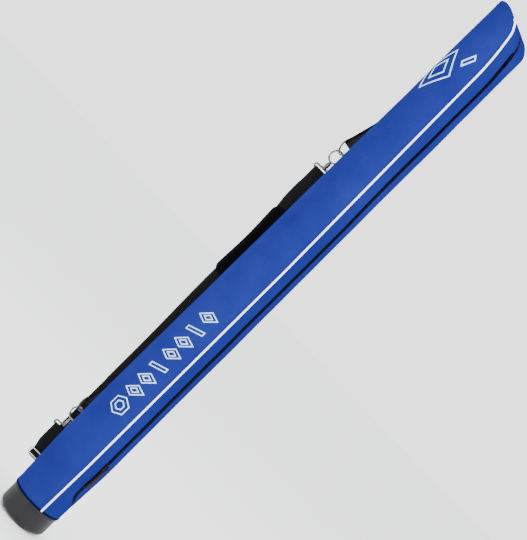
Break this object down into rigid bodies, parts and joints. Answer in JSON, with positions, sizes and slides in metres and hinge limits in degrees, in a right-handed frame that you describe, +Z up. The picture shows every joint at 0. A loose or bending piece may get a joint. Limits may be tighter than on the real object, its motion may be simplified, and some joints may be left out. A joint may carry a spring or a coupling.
{
  "type": "tube carry case",
  "caption": "Semi-rigid round tube carry case with a moulded base cup, a zipped opening flap, white piping and a padded shoulder strap on snap hooks.",
  "frame": {"origin": "centre of the base cup's underside, at the level of its feet, on the case's long axis", "axes": "+Z up along the case's length when it stands on its cup, -Y out of the front panel, -X towards the shoulder strap"},
  "size_m": [0.1797, 0.1292, 1.45],
  "materials": {
    "blue_fabric": "woven polyester with a light coating",
    "gusset_fabric": "woven polyester",
    "hem_fabric": "dark binding tape",
    "piping": "satin vinyl piping",
    "cup_plastic": "moulded, fine texture",
    "foot_rubber": "matt",
    "foam": "closed-cell foam",
    "stiffener_sheet": "plain sheet",
    "lining_fabric": "smooth nylon",
    "zip_tape": "coil zip on woven tape",
    "zip_metal": "black painted",
    "pull_rubber": "moulded over cord",
    "webbing": "ribbed webbing",
    "pad_fabric": "padded, stitched edge",
    "dark_metal": "black nickel",
    "bright_metal": "nickel plated wire"
  },
  "bodies": {
    "root": {"base_cup": "cup_plastic", "base_feet": "foot_rubber", "base_foam": "foam", "hem_band": "hem_fabric", "lower_cover": "blue_fabric", "lower_stiffener": "stiffener_sheet", "lower_foam": "foam", "lower_lining": "lining_fabric", "lower_piping": "piping", "lower_zip": "zip_tape", "rear_cover": "blue_fabric", "rear_gusset": "gusset_fabric", "rear_stiffener": "stiffener_sheet", "rear_foam": "foam", "rear_lining": "lining_fabric", "rear_piping": "piping", "rear_zip": "zip_tape", "spine_tape": "lining_fabric", "zip_stop": "zip_metal", "upper_tab": "webbing", "lower_tab": "webbing", "strap_lower": "webbing"},
    "lid": {"lid_cover": "blue_fabric", "lid_gusset": "gusset_fabric", "lid_stiffener": "stiffener_sheet", "lid_foam": "foam", "lid_lining": "lining_fabric", "lid_piping": "piping", "lid_zip": "zip_tape"},
    "slider": {"zip_slider": "zip_metal"},
    "pull": {"zip_pull": "pull_rubber"},
    "upper_link": {"upper_ring": "dark_metal", "upper_eye": "dark_metal", "upper_web_end": "webbing", "strap_upper": "webbing"},
    "upper_snap": {"upper_hook": "dark_metal"},
    "upper_latch": {"upper_gate": "dark_metal"},
    "lower_link": {"lower_ring": "dark_metal", "lower_eye": "dark_metal", "lower_web_end": "webbing", "strap_turn": "webbing"},
    "lower_snap": {"lower_hook": "dark_metal"},
    "lower_latch": {"lower_gate": "dark_metal"},
    "pad": {"strap_pad": "pad_fabric"},
    "glide": {"tri_glide": "bright_metal"}
  },
  "joints": [
    {"name": "lid_fold", "type": "hinge", "parent": "root", "child": "lid", "pos_m": [-0.05621, -0.03245, 0.235], "axis": [-0.0036, -0.0021, -1], "range_deg": [0, 75]},
    {"name": "zip_slide", "type": "slide", "parent": "root", "child": "slider", "axis": [-0.0041, 0.0007, 1], "range_m": [0, 1.12]},
    {"name": "pull_swing", "type": "hinge", "parent": "slider", "child": "pull", "pos_m": [0.07065, -0.01246, 0.208], "axis": [-0.1736, -0.9848, 0], "range_deg": [0, 150]},
    {"name": "upper_link_swing", "type": "hinge", "parent": "root", "child": "upper_link", "pos_m": [-0.08462, 0.00657, 1.027], "axis": [0, 1, 0], "range_deg": [0, 30]},
    {"name": "upper_snap_turn", "type": "hinge", "parent": "upper_link", "child": "upper_snap", "pos_m": [-0.08462, 0.00657, 0.99], "axis": [0, 0, 1], "range_deg": [-35, 35]},
    {"name": "upper_gate_open", "type": "hinge", "parent": "upper_snap", "child": "upper_latch", "pos_m": [-0.09741, 0.00657, 0.98169], "axis": [0, 1, 0], "range_deg": [0, 25], "stiffness_Nm_per_rad": 0.02, "springref_deg": -17.19},
    {"name": "lower_link_swing", "type": "hinge", "parent": "root", "child": "lower_link", "pos_m": [-0.08462, 0.00657, 0.262], "axis": [0, 1, 0], "range_deg": [0, 30]},
    {"name": "lower_snap_turn", "type": "hinge", "parent": "lower_link", "child": "lower_snap", "pos_m": [-0.08462, 0.00657, 0.225], "axis": [0, 0, 1], "range_deg": [-35, 35]},
    {"name": "lower_gate_open", "type": "hinge", "parent": "lower_snap", "child": "lower_latch", "pos_m": [-0.09741, 0.00657, 0.21669], "axis": [0, 1, 0], "range_deg": [0, 25], "stiffness_Nm_per_rad": 0.02, "springref_deg": -17.19},
    {"name": "pad_slide", "type": "slide", "parent": "upper_link", "child": "pad", "axis": [0, 0, 1], "range_m": [-0.05, 0.01]},
    {"name": "glide_slide", "type": "slide", "parent": "lower_link", "child": "glide", "axis": [0, 0, 1], "range_m": [0, 0.02]}
  ]
}
